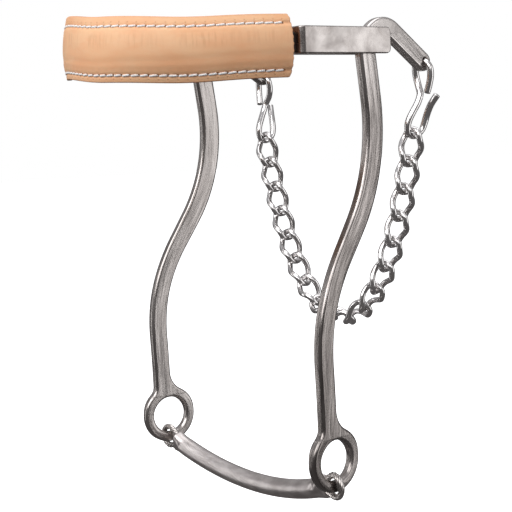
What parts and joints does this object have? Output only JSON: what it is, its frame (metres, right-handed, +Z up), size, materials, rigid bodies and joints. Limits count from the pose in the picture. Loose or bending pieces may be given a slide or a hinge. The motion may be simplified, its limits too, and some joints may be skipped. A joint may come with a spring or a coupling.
{
  "type": "bitless hackamore",
  "caption": "Bitless riding hackamore: padded leather noseband riveted to long swept steel cheeks that lever a curb chain behind the jaw, with rein rings joined by a bowed bar.",
  "frame": {"origin": "midpoint of the line through the two cheek pivots, on the middle plane", "axes": "+X to the horse's left, +Y rearward from the nose to the curb chain, +Z up; the cheeks hang at rest"},
  "size_m": [0.1976, 0.2172, 0.3077],
  "materials": {
    "band_leather": "natural russet, waxed smooth",
    "lining_leather": "natural, matt",
    "pad": "felt",
    "core": "black webbing-covered spring strip",
    "thread": "white waxed polyester thread",
    "bracket_steel": "bright satin stainless strip",
    "forged_steel": "satin forged stainless",
    "rivet_steel": "satin",
    "wire_steel": "polished wire"
  },
  "bodies": {
    "noseband": {"noseband_cover": "band_leather", "noseband_pad": "pad", "noseband_core": "core", "noseband_lining": "lining_leather", "stitch_upper": "thread", "stitch_lower": "thread", "left_bracket": "bracket_steel", "right_bracket": "bracket_steel", "left_pivot": "rivet_steel", "right_pivot": "rivet_steel", "left_core_rivet": "rivet_steel", "right_core_rivet": "rivet_steel"},
    "left_cheek": {"left_cheek": "forged_steel"},
    "right_cheek": {"right_cheek": "forged_steel"},
    "tie_bar": {"tie_bar": "forged_steel"},
    "left_hook": {"left_hook": "wire_steel"},
    "right_hook": {"right_hook": "wire_steel"},
    "left_link_1": {"left_link_1": "wire_steel"},
    "left_link_2": {"left_link_2": "wire_steel"},
    "left_link_3": {"left_link_3": "wire_steel"},
    "left_link_4": {"left_link_4": "wire_steel"},
    "left_link_5": {"left_link_5": "wire_steel"},
    "left_link_6": {"left_link_6": "wire_steel"},
    "left_link_7": {"left_link_7": "wire_steel"},
    "left_link_8": {"left_link_8": "wire_steel"},
    "right_link_1": {"right_link_1": "wire_steel"},
    "right_link_2": {"right_link_2": "wire_steel"},
    "right_link_3": {"right_link_3": "wire_steel"},
    "right_link_4": {"right_link_4": "wire_steel"},
    "right_link_5": {"right_link_5": "wire_steel"},
    "right_link_6": {"right_link_6": "wire_steel"},
    "right_link_7": {"right_link_7": "wire_steel"},
    "right_link_8": {"right_link_8": "wire_steel"},
    "bottom_link": {"bottom_link": "wire_steel"}
  },
  "joints": [
    {"name": "left_cheek_swing", "type": "hinge", "parent": "noseband", "child": "left_cheek", "pos_m": [0.0868, 0, 0], "axis": [1, 0, 0], "range_deg": [-20, 40]},
    {"name": "right_cheek_swing", "type": "hinge", "parent": "noseband", "child": "right_cheek", "pos_m": [-0.0868, 0, 0], "axis": [1, 0, 0], "range_deg": [-20, 40]},
    {"name": "tie_bar_swing", "type": "hinge", "parent": "left_cheek", "child": "tie_bar", "pos_m": [0.09045, -0.04174, -0.2515], "axis": [1, 0, 0], "range_deg": [-30, 30]},
    {"name": "left_hook_swing", "type": "hinge", "parent": "left_cheek", "child": "left_hook", "pos_m": [0.08239, 0.05043, -0.01226], "axis": [1, 0, 0], "range_deg": [-30, 30]},
    {"name": "right_hook_swing", "type": "hinge", "parent": "right_cheek", "child": "right_hook", "pos_m": [-0.08239, 0.05043, -0.01226], "axis": [1, 0, 0], "range_deg": [-30, 30]},
    {"name": "left_link_1_swing", "type": "hinge", "parent": "left_hook", "child": "left_link_1", "pos_m": [0.07759, 0.0462, -0.0572], "axis": [1, 0, 0], "range_deg": [-15, 15]},
    {"name": "right_link_1_swing", "type": "hinge", "parent": "right_hook", "child": "right_link_1", "pos_m": [-0.07759, 0.0462, -0.0572], "axis": [1, 0, 0], "range_deg": [-15, 15]},
    {"name": "left_link_2_swing", "type": "hinge", "parent": "left_link_1", "child": "left_link_2", "pos_m": [0.07332, 0.0462, -0.0753], "axis": [1, 0, 0], "range_deg": [-25, 25]},
    {"name": "right_link_2_swing", "type": "hinge", "parent": "right_link_1", "child": "right_link_2", "pos_m": [-0.07332, 0.0462, -0.0753], "axis": [1, 0, 0], "range_deg": [-25, 25]},
    {"name": "left_link_3_swing", "type": "hinge", "parent": "left_link_2", "child": "left_link_3", "pos_m": [0.06848, 0.0462, -0.09326], "axis": [1, 0, 0], "range_deg": [-25, 25]},
    {"name": "right_link_3_swing", "type": "hinge", "parent": "right_link_2", "child": "right_link_3", "pos_m": [-0.06848, 0.0462, -0.09326], "axis": [1, 0, 0], "range_deg": [-25, 25]},
    {"name": "left_link_4_swing", "type": "hinge", "parent": "left_link_3", "child": "left_link_4", "pos_m": [0.0629, 0.0462, -0.11101], "axis": [1, 0, 0], "range_deg": [-25, 25]},
    {"name": "right_link_4_swing", "type": "hinge", "parent": "right_link_3", "child": "right_link_4", "pos_m": [-0.0629, 0.0462, -0.11101], "axis": [1, 0, 0], "range_deg": [-25, 25]},
    {"name": "left_link_5_swing", "type": "hinge", "parent": "left_link_4", "child": "left_link_5", "pos_m": [0.05634, 0.0462, -0.12841], "axis": [1, 0, 0], "range_deg": [-25, 25]},
    {"name": "right_link_5_swing", "type": "hinge", "parent": "right_link_4", "child": "right_link_5", "pos_m": [-0.05634, 0.0462, -0.12841], "axis": [1, 0, 0], "range_deg": [-25, 25]},
    {"name": "left_link_6_swing", "type": "hinge", "parent": "left_link_5", "child": "left_link_6", "pos_m": [0.0484, 0.0462, -0.14523], "axis": [1, 0, 0], "range_deg": [-20, 20]},
    {"name": "right_link_6_swing", "type": "hinge", "parent": "right_link_5", "child": "right_link_6", "pos_m": [-0.0484, 0.0462, -0.14523], "axis": [1, 0, 0], "range_deg": [-20, 20]},
    {"name": "left_link_7_swing", "type": "hinge", "parent": "left_link_6", "child": "left_link_7", "pos_m": [0.0385, 0.0462, -0.16098], "axis": [1, 0, 0], "range_deg": [-20, 20]},
    {"name": "right_link_7_swing", "type": "hinge", "parent": "right_link_6", "child": "right_link_7", "pos_m": [-0.0385, 0.0462, -0.16098], "axis": [1, 0, 0], "range_deg": [-20, 20]},
    {"name": "left_link_8_swing", "type": "hinge", "parent": "left_link_7", "child": "left_link_8", "pos_m": [0.02573, 0.0462, -0.1745], "axis": [1, 0, 0], "range_deg": [-15, 15]},
    {"name": "right_link_8_swing", "type": "hinge", "parent": "right_link_7", "child": "right_link_8", "pos_m": [-0.02573, 0.0462, -0.1745], "axis": [1, 0, 0], "range_deg": [-15, 15]},
    {"name": "bottom_link_swing", "type": "hinge", "parent": "left_link_8", "child": "bottom_link", "pos_m": [0.0093, 0.0462, -0.18321], "axis": [1, 0, 0], "range_deg": [-15, 15]}
  ],
  "couplings": [
    {"joint": "right_cheek_swing", "follows": "left_cheek_swing", "ratio": 1},
    {"joint": "right_hook_swing", "follows": "left_hook_swing", "ratio": 1},
    {"joint": "right_link_1_swing", "follows": "left_link_1_swing", "ratio": 1},
    {"joint": "right_link_2_swing", "follows": "left_link_2_swing", "ratio": 1},
    {"joint": "right_link_3_swing", "follows": "left_link_3_swing", "ratio": 1},
    {"joint": "right_link_4_swing", "follows": "left_link_4_swing", "ratio": 1},
    {"joint": "right_link_5_swing", "follows": "left_link_5_swing", "ratio": 1},
    {"joint": "right_link_6_swing", "follows": "left_link_6_swing", "ratio": 1},
    {"joint": "right_link_7_swing", "follows": "left_link_7_swing", "ratio": 1},
    {"joint": "right_link_8_swing", "follows": "left_link_8_swing", "ratio": 1}
  ]
}
